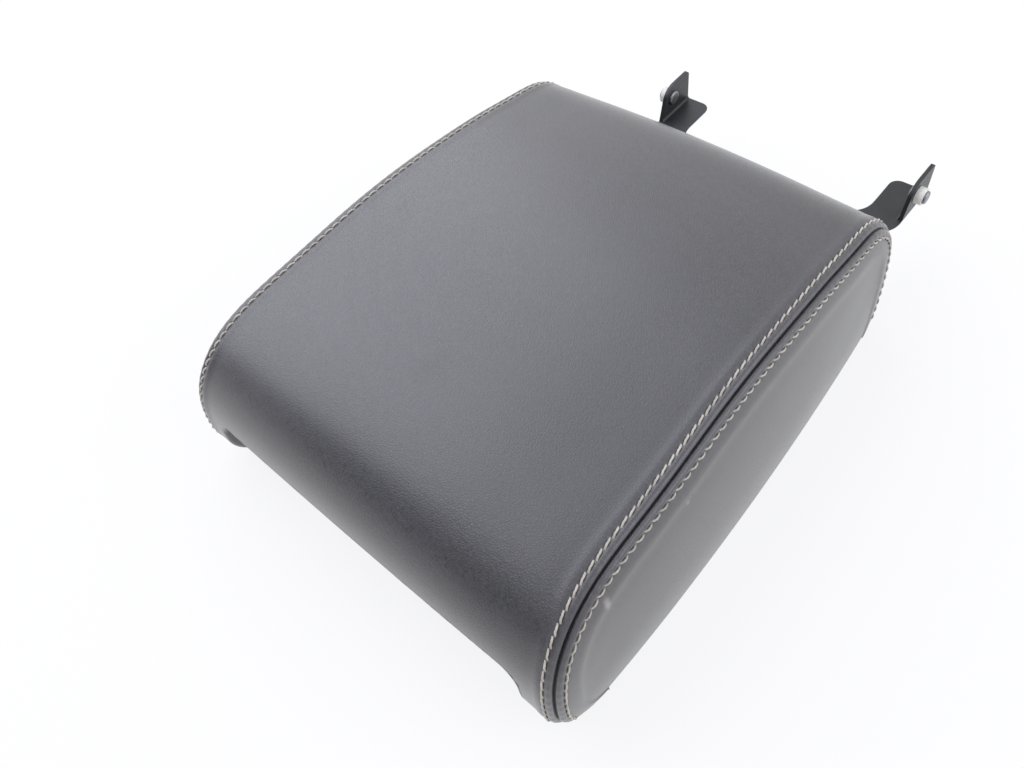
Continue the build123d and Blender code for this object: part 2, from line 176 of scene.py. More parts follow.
@dataclass(frozen=True)
class GrainedLeather:
    """Pigmented leather, embossed with a fine pebble and sealed with a satin top coat.

    The pebbles break the gloss into a soft sheen, and the creases between them are painted darker as shade.
    """

    name: str = "pigmented_leather_embossed"
    base: str = "#2f2f36"
    worn: str = "#393940"
    # painted shade: the darker colour laid into the creases between the pebbles
    crease_shade: str = "#202024"
    pebble: float = 1.1
    wrinkle: float = 3.0
    cloud: float = 55.0
    roughness: tuple[float, float] = (0.35, 0.43)
    emboss: float = 0.15
    marks: tuple[Wear, ...] = (
        Wear((115.3, -122.3, 69.8), 2.4, (0.2, 1.0, 0.4), "#a9a6a4", 0.8),
        Wear((115.5, -71.1, 70.2), 1.6, (0.2, 1.0, 0.7), "#8f8d8c", 0.7),
        Wear((-1.9, -92.4, 92.5), 9.0, (1.0, 0.7, 0.2), "#17171a", 0.5),
    )

    def build(self) -> bpy.types.Material:
        """Make the material.

        Returns:
            The leather's material.
        """
        made, tree, place = blank_material(self.name)
        bend = add_node(
            tree, "ShaderNodeTexNoise", {"Vector": place, "Scale": per_mm(self.pebble * 2), "Detail": 2.0}
        )
        push = add_node(
            tree,
            "ShaderNodeVectorMath",
            {0: bend.outputs["Color"], 1: (self.pebble * MM * 0.7,) * 3, 2: place},
            operation="MULTIPLY_ADD",
        ).outputs[0]
        cells = add_node(
            tree,
            "ShaderNodeTexVoronoi",
            {"Vector": push, "Scale": per_mm(self.pebble), "Randomness": 0.9},
            feature="DISTANCE_TO_EDGE",
        ).outputs["Distance"]
        dome = ramp(tree, cells, 0.0, 0.32, (0.0, 1.0))
        wrinkle = add_node(
            tree, "ShaderNodeTexNoise", {"Vector": place, "Scale": per_mm(self.wrinkle), "Detail": 4.0}
        ).outputs["Fac"]
        cloud = add_node(
            tree, "ShaderNodeTexNoise", {"Vector": place, "Scale": per_mm(self.cloud), "Detail": 3.0}
        ).outputs["Fac"]
        height = add_node(
            tree, "ShaderNodeMath", {0: wrinkle, 1: 0.25, 2: dome}, operation="MULTIPLY_ADD"
        ).outputs[0]
        colour = blend(tree, ramp(tree, cloud, 0.35, 0.7, (0.0, 1.0)), linear(self.base), linear(self.worn))
        # Painted shade: the colour darkens towards the pebble edges, as if shade fell in the creases
        colour = blend(tree, ramp(tree, cells, 0.0, 0.14, (0.75, 0.0)), colour, linear(self.crease_shade))
        for mark in self.marks:
            away = add_node(
                tree,
                "ShaderNodeVectorMath",
                {0: place, 1: tuple(-v * MM for v in mark.place)},
                operation="ADD",
            ).outputs[0]
            scaled = add_node(
                tree, "ShaderNodeVectorMath", {0: away, 1: mark.stretch}, operation="MULTIPLY"
            ).outputs[0]
            far = add_node(tree, "ShaderNodeVectorMath", {0: scaled}, operation="LENGTH").outputs["Value"]
            reach = mark.reach * MM
            ragged = add_node(
                tree, "ShaderNodeMath", {0: wrinkle, 1: reach * 0.9, 2: far}, operation="MULTIPLY_ADD"
            ).outputs[0]
            amount = ramp(tree, ragged, reach * 0.45, reach * 1.35, (mark.strength, 0.0))
            colour = blend(tree, amount, colour, linear(mark.colour))
        bump = add_node(
            tree, "ShaderNodeBump", {"Height": height, "Strength": 0.85, "Distance": self.emboss * MM}
        ).outputs[0]
        shader = add_node(
            tree,
            "ShaderNodeBsdfPrincipled",
            {
                "Base Color": colour,
                "Roughness": ramp(tree, cloud, 0.3, 0.7, self.roughness),
                "IOR": 1.5,
                "Coat Weight": 1.0,
                "Coat Roughness": 0.36,
                "Sheen Weight": 0.1,
                "Sheen Roughness": 0.45,
                "Normal": bump,
            },
        )
        surface(tree, shader)
        return made


@dataclass(frozen=True)
class TwistedThread:
    """Bonded polyester sewing thread, twisted from three plies, with a dull silky gloss."""

    name: str = "polyester_thread_twisted"
    pale: str = "#cdc7bd"
    deep: str = "#aca69c"
    stitch: float = 5.0

    def build(self) -> bpy.types.Material:
        """Make the material.

        Returns:
            The thread's material.
        """
        made, tree, place = blank_material(self.name)
        uneven = add_node(
            tree, "ShaderNodeTexNoise", {"Vector": place, "Scale": per_mm(self.stitch), "Detail": 3.0}
        ).outputs["Fac"]
        tone = ramp(tree, uneven, 0.3, 0.7, (0.0, 1.0))
        shader = add_node(
            tree,
            "ShaderNodeBsdfPrincipled",
            {
                "Base Color": blend(tree, tone, linear(self.deep), linear(self.pale)),
                "Roughness": 0.55,
                "IOR": 1.57,
                "Sheen Weight": 0.3,
            },
        )
        surface(tree, shader)
        return made


@dataclass(frozen=True)
class Solid:
    """Finish of a hard part: two close tones, a fine surface texture and its gloss."""

    name: str
    light: str
    dark: str
    texture: float
    relief: float
    roughness: tuple[float, float]
    metallic: float = 0.0
    ior: float = 1.5
    edge: float = 0.25

    def build(self) -> bpy.types.Material:
        """Make the material.

        Returns:
            The part's material.
        """
        made, tree, place = blank_material(self.name)
        fine = add_node(
            tree, "ShaderNodeTexNoise", {"Vector": place, "Scale": per_mm(self.texture), "Detail": 4.0}
        ).outputs["Fac"]
        broad = add_node(
            tree, "ShaderNodeTexNoise", {"Vector": place, "Scale": per_mm(self.texture * 20), "Detail": 2.0}
        ).outputs["Fac"]
        rounded = add_node(tree, "ShaderNodeBevel", {"Radius": self.edge * MM}, samples=4).outputs[0]
        bump = add_node(
            tree,
            "ShaderNodeBump",
            {"Height": fine, "Strength": 0.6, "Distance": self.relief * MM, "Normal": rounded},
        ).outputs[0]
        tone = ramp(tree, broad, 0.3, 0.7, (0.0, 1.0))
        inputs = {
            "Base Color": blend(tree, tone, linear(self.dark), linear(self.light)),
            "Roughness": ramp(tree, fine, 0.3, 0.7, self.roughness),
            "Metallic": self.metallic,
            "Normal": bump,
        }
        if not self.metallic:
            inputs["IOR"] = self.ior
        surface(tree, add_node(tree, "ShaderNodeBsdfPrincipled", inputs))
        return made


# Cathodic dip coat on pressed steel: thin, satin and nearly black, so edges catch the light
COATED_STEEL = Solid("dip_coated_pressed_steel", "#2b2c2f", "#202124", 0.6, 0.02, (0.34, 0.44), edge=0.5)
# Carrier of glass-filled polypropylene: dull, with faint flow marks
CARRIER_PLASTIC = Solid("polypropylene_moulded", "#2a2a2b", "#222223", 0.8, 0.03, (0.5, 0.62), ior=1.49)
# Liner of ABS with a spark-eroded texture: fine and dull
LINER_PLASTIC = Solid("abs_moulded_eroded_texture", "#303033", "#28282b", 0.45, 0.05, (0.52, 0.66), ior=1.53)
# Paddle of the same plastic, rubbed a little smoother by fingers
PADDLE_PLASTIC = Solid("abs_moulded_rubbed", "#2b2b2e", "#232326", 0.45, 0.04, (0.4, 0.52), ior=1.53)
# Natural nylon, moulded: milky white and slightly waxy
BUSH_NYLON = Solid("nylon_moulded_natural", "#f5f4f0", "#eceae4", 0.7, 0.02, (0.35, 0.45), ior=1.53)
# Turned steel with a thin zinc layer
PIN_STEEL = Solid("steel_turned_zinc_plated", "#8d9094", "#787b80", 0.25, 0.01, (0.28, 0.4), metallic=1.0)
# Black zinc on cold-headed screws
SCREW_STEEL = Solid("steel_headed_black_zinc", "#4a4b4e", "#37383b", 0.3, 0.01, (0.35, 0.48), metallic=1.0)
# Drawn spring wire, bright and smooth
SPRING_STEEL = Solid("spring_wire_drawn", "#a2a4a8", "#8b8e93", 0.2, 0.005, (0.22, 0.32), metallic=1.0)
# Turned brass, a little dulled
INSERT_BRASS = Solid("brass_turned", "#c7a45c", "#a98745", 0.25, 0.01, (0.3, 0.42), metallic=1.0)
# Moulded rubber: black, soft-looking and without gloss
STOP_RUBBER = Solid("rubber_moulded", "#222222", "#1a1a1a", 0.5, 0.03, (0.7, 0.82), ior=1.52)
# Moulded polyurethane foam: straw-coloured open cells
PAD_FOAM = Solid("polyurethane_foam_moulded", "#cfc39b", "#b9ab80", 0.9, 0.35, (0.85, 0.95), ior=1.45)


# Meshes


def new_piece(name: str, vertices: Any, faces: list, material: bpy.types.Material) -> bpy.types.Object:
    """Make a smooth-shaded mesh object.

    Args:
        name: name of the piece.
        vertices: places in millimetres.
        faces: vertex numbers of each face.
        material: its finish.

    Returns:
        The object, linked to the scene.
    """
    mesh = bpy.data.meshes.new(name)
    mesh.from_pydata((np.asarray(vertices, float) * MM).tolist(), [], faces)
    mesh.validate()
    mesh.polygons.foreach_set("use_smooth", [True] * len(mesh.polygons))
    mesh.materials.append(material)
    made = bpy.data.objects.new(name, mesh)
    bpy.context.scene.collection.objects.link(made)
    return made


def unit(vectors: np.ndarray) -> np.ndarray:
    """Scale vectors to length 1 along the last axis."""
    return vectors / np.maximum(np.linalg.norm(vectors, axis=-1, keepdims=True), 1e-12)


def smooth_rail(points: np.ndarray, at: np.ndarray) -> np.ndarray:
    """Draw one smooth curve through points.

    Args:
        points: points of the curve, one a row.
        at: shares of the chord length, from 0 to 1.

    Returns:
        Places on the curve.
    """
    knots = np.concatenate(([0.0], np.cumsum(np.linalg.norm(np.diff(points, axis=0), axis=1))))
    gaps = np.diff(knots)
    system = np.eye(len(points))
    target = np.zeros_like(points)
    target[0] = np.polyfit(knots[:4] - knots[0], points[:4], 3)[-2]
    target[-1] = np.polyfit(knots[-4:] - knots[-1], points[-4:], 3)[-2]
    for i in range(1, len(points) - 1):
        before, after = gaps[i - 1], gaps[i]
        system[i, i - 1 : i + 2] = after, 2 * (before + after), before
        rise = after * (points[i] - points[i - 1]) / before
        target[i] = 3 * (rise + before * (points[i + 1] - points[i]) / after)
    slopes = np.linalg.solve(system, target)
    reach = np.asarray(at) * knots[-1]
    k = np.clip(np.searchsorted(knots, reach, "right") - 1, 0, len(gaps) - 1)
    h = gaps[k][:, None]
    f = (reach - knots[k])[:, None] / h
    start = (1 + 2 * f) * (1 - f) ** 2 * points[k] + f * (1 - f) ** 2 * h * slopes[k]
    return start + f * f * (3 - 2 * f) * points[k + 1] + f * f * (f - 1) * h * slopes[k + 1]


def grid_normals(points: np.ndarray, inside: np.ndarray) -> np.ndarray:
    """Outward normals of a grid of points.

    Args:
        points: grid of places.
        inside: a place inside the cushion.

    Returns:
        Grid of unit vectors.
    """
    made = unit(np.cross(np.gradient(points, axis=0), np.gradient(points, axis=1)))
    away = np.sum(made * (points - inside), axis=-1)
    return made * np.where(np.median(away) < 0, -1.0, 1.0)


@dataclass(frozen=True)
class CushionForm:
    """Outer form of the cushion: its side view, crowned top, bulging cheeks and the arch below."""

    middle_y: float = -27.75
    side_view: tuple[tuple[float, float], ...] = (
        (-132.5, -10.0),
        (-135.0, 30.0),
        (-128.0, 64.0),
        (-111.0, 82.0),
        (-61.0, 92.3),
        (-5.0, 96.0),
        (60.0, 92.2),
        (114.0, 82.8),
        (134.5, 73.0),
        (139.0, 46.0),
        (134.0, -10.0),
    )
    steps: int = 18
    crown_radius: float = 900.0
    flank_halves: tuple[float, float, float] = (120.0, 118.0, 102.5)
    flank_heights: tuple[float, float, float] = (0.0, 45.0, 104.0)
    stations: tuple[float, float, float] = (-150.0, 0.0, 154.0)
    narrowing: tuple[float, float, float] = (0.985, 1.0, 0.91)
    seam_round: float = 9.0
    arch_half: float = 99.0
    arch_top_half: float = 96.5
    arch_height: float = 42.0
    arch_round: float = 8.0
    foot_round: float = 3.0
    nose_reach: float = 135.0
    chin_round: float = 27.0
    chin_fade: float = 75.0

    def tuck_chin(self, points: np.ndarray) -> np.ndarray:
        """Draw the lower front corner of the cheeks back onto a round chin.

        Args:
            points: places (x, y from the middle, z).

        Returns:
            The moved places.
        """
        below = np.clip(self.chin_round - points[..., 2], 0, self.chin_round)
        push = self.chin_round - np.sqrt(self.chin_round**2 - below**2)
        near = np.clip((self.chin_fade - self.nose_reach - points[..., 1]) / self.chin_fade, 0, 1)
        moved = points.copy()
        moved[..., 1] += push * near
        return moved

    @property
    def inside(self) -> np.ndarray:
        """A place well inside the cushion."""
        return np.array((0.0, self.middle_y, 50.0))

    def rail(self, count: int) -> np.ndarray:
        """Side view from the front sill over the top to the rear sill.

        Args:
            count: number of places, evenly spaced.

        Returns:
            Rows of (y from the middle, z).
        """
        coarse = smooth_rail(np.array(self.side_view), np.linspace(0, 1, self.steps + 1))
        dense = smooth_rail(coarse, np.linspace(0, 1, 6000))
        dense = dense[dense[:, 1] >= 0]
        run = np.concatenate(([0.0], np.cumsum(np.linalg.norm(np.diff(dense, axis=0), axis=1))))
        even = np.linspace(0, run[-1], count)
        return np.stack([np.interp(even, run, dense[:, k]) for k in (0, 1)], axis=1)

    def half_width(self, y: np.ndarray, z: np.ndarray) -> np.ndarray:
        """Distance of the cheek from the middle plane at places (y from the middle, z)."""
        made = np.zeros(np.broadcast(y, z).shape)
        (z0, z1, z2), at = self.flank_heights, self.stations
        for k, narrow in enumerate(self.narrowing):
            x0, x1, x2 = (half * narrow for half in self.flank_halves)
            rows = np.array(((x1 - x0, z1 - z0), (x2 - x1, z2 - z1)))
            sums = (x1**2 - x0**2 + z1**2 - z0**2, x2**2 - x1**2 + z2**2 - z1**2)
            cx, cz = np.linalg.solve(rows, np.array(sums) / 2)
            share = np.ones_like(made)
            for other in range(3):
                if other != k:
                    share = share * (y - at[other]) / (at[k] - at[other])
            made = made + share * (cx + np.sqrt((x0 - cx) ** 2 + (z0 - cz) ** 2 - (z - cz) ** 2))
        return made

    def crowned(self, rail: np.ndarray, turn: np.ndarray) -> np.ndarray:
        """Places on the crowned top.

        Args:
            rail: rows of (y, z) on the centre line.
            turn: angle from the middle plane for each row.

        Returns:
            Places (x, y, z).
        """
        reach = self.crown_radius + rail[:, 1]
        return np.stack([reach * np.sin(turn), rail[:, 0], reach * np.cos(turn) - self.crown_radius], axis=1)

    def clearance(self, x: np.ndarray, z: np.ndarray) -> np.ndarray:
        """Distance, seen from the front, from the arch and the floor to places in the leather."""
        lean = np.array((self.arch_height, self.arch_half - self.arch_top_half))
        lean = lean / np.linalg.norm(lean)
        wall = (np.abs(x) - self.arch_half) * lean[0] + z * lean[1] + self.arch_round
        roof = z - self.arch_height + self.arch_round
        arch = np.hypot(np.maximum(wall, 0), np.maximum(roof, 0)) + np.minimum(np.maximum(wall, roof), 0)
        u = self.foot_round - (arch - self.arch_round)
        v = self.foot_round - z
        corner = np.hypot(np.maximum(u, 0), np.maximum(v, 0)) + np.minimum(np.maximum(u, v), 0)
        return self.foot_round - corner


@dataclass(frozen=True)
class SeamStyle:
    """Seam pressed open and topstitched: a groove, two padded lips and a stitch row on each side."""

    groove_depth: float = 1.7
    groove_half: float = 0.5
    lip_height: float = 0.7
    lip_at: float = 2.3
    lip_half: float = 1.7
    row_at: float = 4.7
    row_depth: float = 0.5
    row_half: float = 0.75
    pitch: float = 5.1
    thread_radius: float = 0.45
    thread_lift: float = 0.55
    thread_dip: float = 0.5
    slant: float = 1.0
    plies: int = 3

    def relief(self, away: np.ndarray, along: np.ndarray, pillow: tuple[float, float, float]) -> np.ndarray:
        """Height of the leather over its plain form.

        Args:
            away: distance from the seam.
            along: distance along the seam.
            pillow: height, place and half width of the padding's bulge beyond the stitches.

        Returns:
            Heights.
        """
        beat = np.cos(2 * np.pi * along / self.pitch)
        groove = -self.groove_depth * np.exp(-((away / self.groove_half) ** 2))
        lip = self.lip_height * np.exp(-(((away - self.lip_at) / self.lip_half) ** 2)) * (1 - 0.08 * beat)
        row = -self.row_depth * np.exp(-(((away - self.row_at) / self.row_half) ** 2)) * (0.75 + 0.25 * beat)
        bulge = pillow[0] * np.exp(-(((away - pillow[1]) / pillow[2]) ** 2))
        return groove + lip + row + bulge


class LeatherSheet:
    """A leather panel as a grid of places: rows along the seam, columns away from it."""

    def __init__(self, points: np.ndarray, away: np.ndarray, margin: np.ndarray, inside: np.ndarray) -> None:
        """Keep the plain form.

        Args:
            points: grid of places.
            away: distance of each column from the nearest seam.
            margin: distance of each place from the panel's hem, negative beyond it.
            inside: a place inside the cushion.
        """
        self.points = points
        self.away = away
        self.margin = margin
        self.inside = inside
        self.normals = grid_normals(points, inside)

    def raise_by(self, height: np.ndarray) -> None:
        """Move the places along their normals by a grid of heights, less where they face the ground."""
        height = height * np.clip(1.0 + 1.3 * self.normals[..., 2], 0, 1)
        self.points = self.points + self.normals * height[..., None]
        self.normals = grid_normals(self.points, self.inside)

    def swell(self, row_step: int, columns: np.ndarray, held_band: float, cap: float, tuck: float) -> None:
        """Draw the leather taut over its padding by a cloth simulation of a coarse copy.

        Args:
            row_step: rows of the grid for each row of the copy.
            columns: columns of the grid that the copy has.
            held_band: distance from the seam and the hem that the sewing holds.
            cap: furthest that a place may move.
            tuck: how much smaller the shape starts.
        """
        rows = np.unique(np.append(np.arange(0, len(self.points), row_step), len(self.points) - 1))
        trial = self.points[np.ix_(rows, columns)]
        held = (self.away[columns][None, :] < held_band) | (self.margin[np.ix_(rows, columns)] < held_band)
        held[0], held[-1] = True, True
        lift = inflate(trial, held, self.normals[np.ix_(rows, columns)], cap)
        every_row = np.arange(len(self.points))
        spread = np.stack([np.interp(every_row, rows, lift[:, k]) for k in range(len(columns))], axis=1)
        run = np.arange(self.points.shape[1])
        spread = np.stack([np.interp(run, columns, line) for line in spread])
        fade = 30.0
        loose = np.clip((np.minimum(self.away[None, :], self.margin) - held_band) / fade, 0, 1)
        spread = (spread - tuck) * loose * loose * (3 - 2 * loose)
        for axis, width in ((0, 2 * row_step), (1, 4)):
            spread = soften(spread, axis, width)
        self.raise_by(spread)

    def sample(self, seam_run: np.ndarray, columns: np.ndarray, along: np.ndarray, away: np.ndarray) -> tuple:
        """Places and normals on the finished leather.

        Args:
            seam_run: distance along the seam of each row.
            columns: columns beside one seam, from the seam outwards.
            along: distances along the seam.
            away: distances from the seam.

        Returns:
            Places and unit normals.
        """
        row = np.clip(np.interp(along, seam_run, np.arange(len(seam_run))), 0, len(seam_run) - 1.001)
        col = np.clip(np.interp(away, self.away[columns], np.arange(len(columns))), 0, len(columns) - 1.001)
        i, j = row.astype(int), col.astype(int)
        f, g = (row - i)[..., None], (col - j)[..., None]
        found = []
        for grid in (self.points[:, columns], self.normals[:, columns]):
            near = grid[i, j] * (1 - g) + grid[i, j + 1] * g
            found.append(near * (1 - f) + (grid[i + 1, j] * (1 - g) + grid[i + 1, j + 1] * g) * f)
        return found[0], unit(found[1])

    def cut(self, radius: float, turn: Callable[[np.ndarray], tuple]) -> tuple[np.ndarray, list]:
        """Cut the sheet at its hem and roll the edge under.

        Args:
            radius: radius of the rolled edge.
            turn: gives, for the rim's places, the way to the hem, the way in under it and how far.

        Returns:
            Places and faces.
        """
        margin = self.margin - radius
        kept = margin >= 0
        number = np.full(kept.shape, -1)
        number[kept] = np.arange(kept.sum())
        places, facing = list(self.points[kept]), list(self.normals[kept])
        cuts: dict[tuple, int] = {}
        faces, rim = [], []
        for i in range(kept.shape[0] - 1):
            for j in range(kept.shape[1] - 1):
                ring = ((i, j), (i, j + 1), (i + 1, j + 1), (i + 1, j))
                count = sum(kept[c] for c in ring)
                if count == 4:
                    faces.append([int(number[c]) for c in ring])
                if count in (0, 4):
                    continue
                face, ends = [], []
                for here, there in zip(ring, ring[1:] + ring[:1]):
                    if kept[here]:
                        face.append(int(number[here]))
                    if kept[here] != kept[there]:
                        key = (min(here, there), max(here, there))
                        if key not in cuts:
                            f = margin[here] / (margin[here] - margin[there])
                            places.append(self.points[here] * (1 - f) + self.points[there] * f)
                            facing.append(self.normals[here] * (1 - f) + self.normals[there] * f)
                            cuts[key] = len(places) - 1
                        face.append(cuts[key])
                        ends.append(cuts[key])
                faces.append(face)
                rim += [ends] if len(ends) == 2 else []
        edge = np.array(sorted(cuts.values()))
        rows = {int(v): k for k, v in enumerate(edge)}
        start, normal = np.array(places)[edge], unit(np.array(facing)[edge])
        way, under, depth = turn(start)
        way = unit(way - np.sum(way * normal, axis=1, keepdims=True) * normal)
        rings = [edge]
        for angle in np.radians((18, 36, 54, 72, 90)):
            arc = start - radius * normal + radius * (normal * math.cos(angle) + way * math.sin(angle))
            arc[:, 2] = np.maximum(arc[:, 2], 0.0)
            rings.append(np.arange(len(edge)) + len(places))
            places += list(arc)
        for share in (0.3, 1.0):
            rings.append(np.arange(len(edge)) + len(places))
            places += list(arc + under * (depth * share)[:, None])
        for a, b in rim:
            for inner, outer in zip(rings, rings[1:]):
                corners = (inner[rows[b]], inner[rows[a]], outer[rows[a]], outer[rows[b]])
                faces.append([int(v) for v in corners])
        return np.array(places), faces


def soften(grid: np.ndarray, axis: int, width: int) -> np.ndarray:
    """Smooth a grid along one axis with a raised-cosine window, its ends held out flat.

    Args:
        grid: values.
        axis: axis to smooth along.
        width: half width of the window in places.

    Returns:
        Smoothed values.
    """
    window = np.hanning(2 * width + 3)[1:-1]
    window = window / window.sum()
    pad = [(0, 0), (0, 0)]
    pad[axis] = (width, width)
    wide = np.pad(grid, pad, mode="edge")
    return np.apply_along_axis(lambda line: np.convolve(line, window, "valid"), axis, wide)


def inflate(places: np.ndarray, held: np.ndarray, normals: np.ndarray, cap: float) -> np.ndarray:
    """Swell a held sheet with a cloth simulation.

    Args:
        places: coarse grid in millimetres.
        held: which places the sewing holds.
        normals: outward normals.
        cap: furthest that a place may move, in millimetres.

    Returns:
        Grid of heights over the start.
    """
    rows, cols = held.shape
    at = np.arange(rows * cols).reshape(rows, cols)
    quads = np.stack([at[:-1, :-1], at[:-1, 1:], at[1:, 1:], at[1:, :-1]], axis=-1).reshape(-1, 4)
    flat = places.reshape(-1, 3)
    middle = quads[len(quads) // 2]
    first = flat[middle]
    outward = np.cross(first[1] - first[0], first[3] - first[0]) @ normals.reshape(-1, 3)[middle[0]]
    quads = quads if outward > 0 else quads[:, ::-1]
    mesh = bpy.data.meshes.new("swell_trial")
    mesh.from_pydata((flat * MM).tolist(), [], quads.tolist())
    trial = bpy.data.objects.new("swell_trial", mesh)
    scene = bpy.context.scene
    scene.collection.objects.link(trial)
    group = trial.vertex_groups.new(name="sewn")
    group.add([int(v) for v in at[held]], 1.0, "REPLACE")
    cloth = trial.modifiers.new("cloth", "CLOTH")
    cloth.settings.vertex_group_mass = "sewn"
    cloth.settings.quality = 6
    cloth.settings.tension_stiffness = 30.0
    cloth.settings.compression_stiffness = 30.0
    cloth.settings.bending_stiffness = 4.0
    cloth.settings.use_pressure = True
    cloth.settings.uniform_pressure_force = 4.0
    cloth.settings.effector_weights.gravity = 0.0
    cloth.collision_settings.use_collision = False
    for step in range(1, 21):
        scene.frame_set(step)
    ready = trial.evaluated_get(bpy.context.evaluated_depsgraph_get())
    moved = np.array([v.co for v in ready.data.vertices]) / MM
    scene.frame_set(1)
    bpy.data.objects.remove(trial)
    bpy.data.meshes.remove(mesh)
    rise = np.sum((moved - flat).reshape(rows, cols, 3) * normals, axis=-1)
    rise = np.where(held, 0.0, rise)
    log.info("swell of the leather before its cap: %.2f mm", float(rise.max()))
    return rise * min(1.0, cap / max(float(rise.max()), 1e-6))


@dataclass
class LeatherCover:
    """The sewn cover: crowned top panel, two cheeks, and the thread of both seams."""

    form: CushionForm
    seam: SeamStyle
    rows: int = 620
    inner_columns: int = 26
    cheek_columns: int = 24
    hem_round: float = 2.3
    cheek_hem_round: float = 2.0
    hem_depth: float = 14.0
    top_reach: float = 100.0
    cheek_reach: float = 85.0
    swell_row_step: int = 10
    top_swell_columns: int = 41
    cheek_swell_columns: int = 24
    held_band: float = 13.0
    swell_cap: float = 1.5
    tuck: float = 0.8
    chin_sewn: float = 11.0
    top_pillow: tuple[float, float, float] = (0.45, 7.6, 2.2)
    cheek_pillow: tuple[float, float, float] = (0.5, 11.5, 5.0)

    def band(self) -> np.ndarray:
        """Distances from the seam of the close columns beside it."""
        groove_and_lip = (0, 0.25, 0.5, 0.8, 1.15, 1.6, 2.1, 2.6, 3.1, 3.6)
        stitch_row = (4.0, 4.35, 4.7, 5.05, 5.4)
        beyond = (5.9, 6.6, 7.4, 8.3, 9.4, 10.8, 12.5)
        return np.array(groove_and_lip + stitch_row + beyond, float)

    def edge_frames(self) -> dict[str, np.ndarray]:
        """Where the top and the right cheek would meet in a sharp edge, with the rounding there.

        Returns:
            Named rows: rail, turn, corner, inward, centre, out, across, half, tangent and reach.
        """
        form = self.form
        rail = form.rail(self.rows)
        reach = form.crown_radius + rail[:, 1]
        turn = np.full(self.rows, 0.1)
        for _ in range(12):
            height = reach * np.cos(turn) - form.crown_radius
            turn = np.arcsin(form.half_width(rail[:, 0], height) / reach)
        corner = form.crowned(rail, turn)
        run = unit(np.gradient(corner[:, 1:], axis=0))
        inward = np.stack([run[:, 1], -run[:, 0]], axis=1)
        probe = 0.1
        near = corner[:, 1:] + inward * probe
        lean = form.half_width(near[:, 0], near[:, 1]) - corner[:, 0]
        top_way = np.stack([-np.cos(turn), np.zeros(self.rows), np.sin(turn)], axis=1)
        cheek_way = unit(np.concatenate([(lean / probe)[:, None], inward], axis=1))
        angle = np.arccos(np.clip(np.sum(top_way * cheek_way, axis=1), -1, 1))
        out = -unit(top_way + cheek_way)
        centre = corner - out * (form.seam_round / np.sin(angle / 2))[:, None]
        across = unit(top_way - np.sum(top_way * out, axis=1, keepdims=True) * out)
        half = (np.pi - angle) / 2
        tangent = form.seam_round / np.tan(angle / 2)
        return {
            "rail": rail,
            "turn": turn,
            "corner": corner,
            "inward": inward,
            "centre": centre,
            "out": out,
            "across": across,
            "half": half,
            "tangent": tangent,
            "reach": reach,
        }

    def top_column(self, e: dict[str, np.ndarray], away: float) -> np.ndarray:
        """Places on the top at a distance from the right seam."""
        form, r = self.form, self.form.seam_round
        start = e["turn"] - e["tangent"] / e["reach"]
        arc = r * e["half"]
        flat = form.crowned(e["rail"], start - (away - arc) / e["reach"])
        landing = form.crowned(e["rail"], start)
        return self.rounded(e, away, 1.0, landing, flat)

    def cheek_column(self, e: dict[str, np.ndarray], away: float) -> np.ndarray:
        """Places on the right cheek at a distance from the seam."""
        arc = self.form.seam_round * e["half"]
        flat = self.on_cheek(e, e["tangent"] + away - arc)
        landing = self.on_cheek(e, e["tangent"])
        return self.rounded(e, away, -1.0, landing, flat)

    def on_cheek(self, e: dict[str, np.ndarray], depth: np.ndarray) -> np.ndarray:
        """Places on the right cheek, inwards from its sharp outline by depth."""
        y, z = (e["corner"][:, 1:] + e["inward"] * depth[:, None]).T
        return np.stack([self.form.half_width(y, z), y, z], axis=1)

    def rounded(self, e: dict, away: float, sign: float, landing: np.ndarray, flat: np.ndarray) -> np.ndarray:
        """Join the rounded seam to a panel.

        Args:
            e: rows from edge_frames.
            away: distance from the seam.
            sign: 1 towards the top, -1 towards the cheek.
            landing: where the rounding ends on the panel.
            flat: places on the panel itself.

        Returns:
            Places at that distance.
        """
        r = self.form.seam_round

        def on_arc(angle: np.ndarray) -> np.ndarray:
            """Places on the rounding at an angle from its middle."""
            cosine, sine = np.cos(angle)[:, None], np.sin(angle)[:, None]
            return e["centre"] + r * (e["out"] * cosine + sign * e["across"] * sine)

        arc = r * e["half"]
        share = np.clip(away / arc, 0, 1)
        bent = on_arc(share * e["half"]) + (landing - on_arc(e["half"])) * (share**2)[:, None]
        return np.where((away <= arc)[:, None], bent, flat)

    def top_sheet(self, e: dict[str, np.ndarray]) -> LeatherSheet:
        """Lay out the crowned top from the left seam to the right one.

        Args:
            e: rows from edge_frames.

        Returns:
            The sheet in its plain form.
        """
        band = self.band()
        right = [self.top_column(e, away) for away in band]
        last = np.arctan2(right[-1][:, 0], self.form.crown_radius + right[-1][:, 2])
        away = list(band)
        for k in range(1, self.inner_columns + 1):
            share = (k / self.inner_columns) ** 1.25
            right.append(self.form.crowned(e["rail"], last * (1 - share)))
            away.append(band[-1] + self.top_reach * share)
        half = np.stack(right[::-1], axis=1)
        mirrored = half[:, :0:-1] * np.array((-1.0, 1.0, 1.0))
        points = self.form.tuck_chin(np.concatenate([mirrored, half], axis=1))
        points = points + np.array((0, self.form.middle_y, 0))
        reach = np.array(away[::-1])
        margin = self.form.clearance(points[..., 0], points[..., 2])
        return LeatherSheet(points, np.concatenate([reach[:0:-1], reach]), margin, self.form.inside)

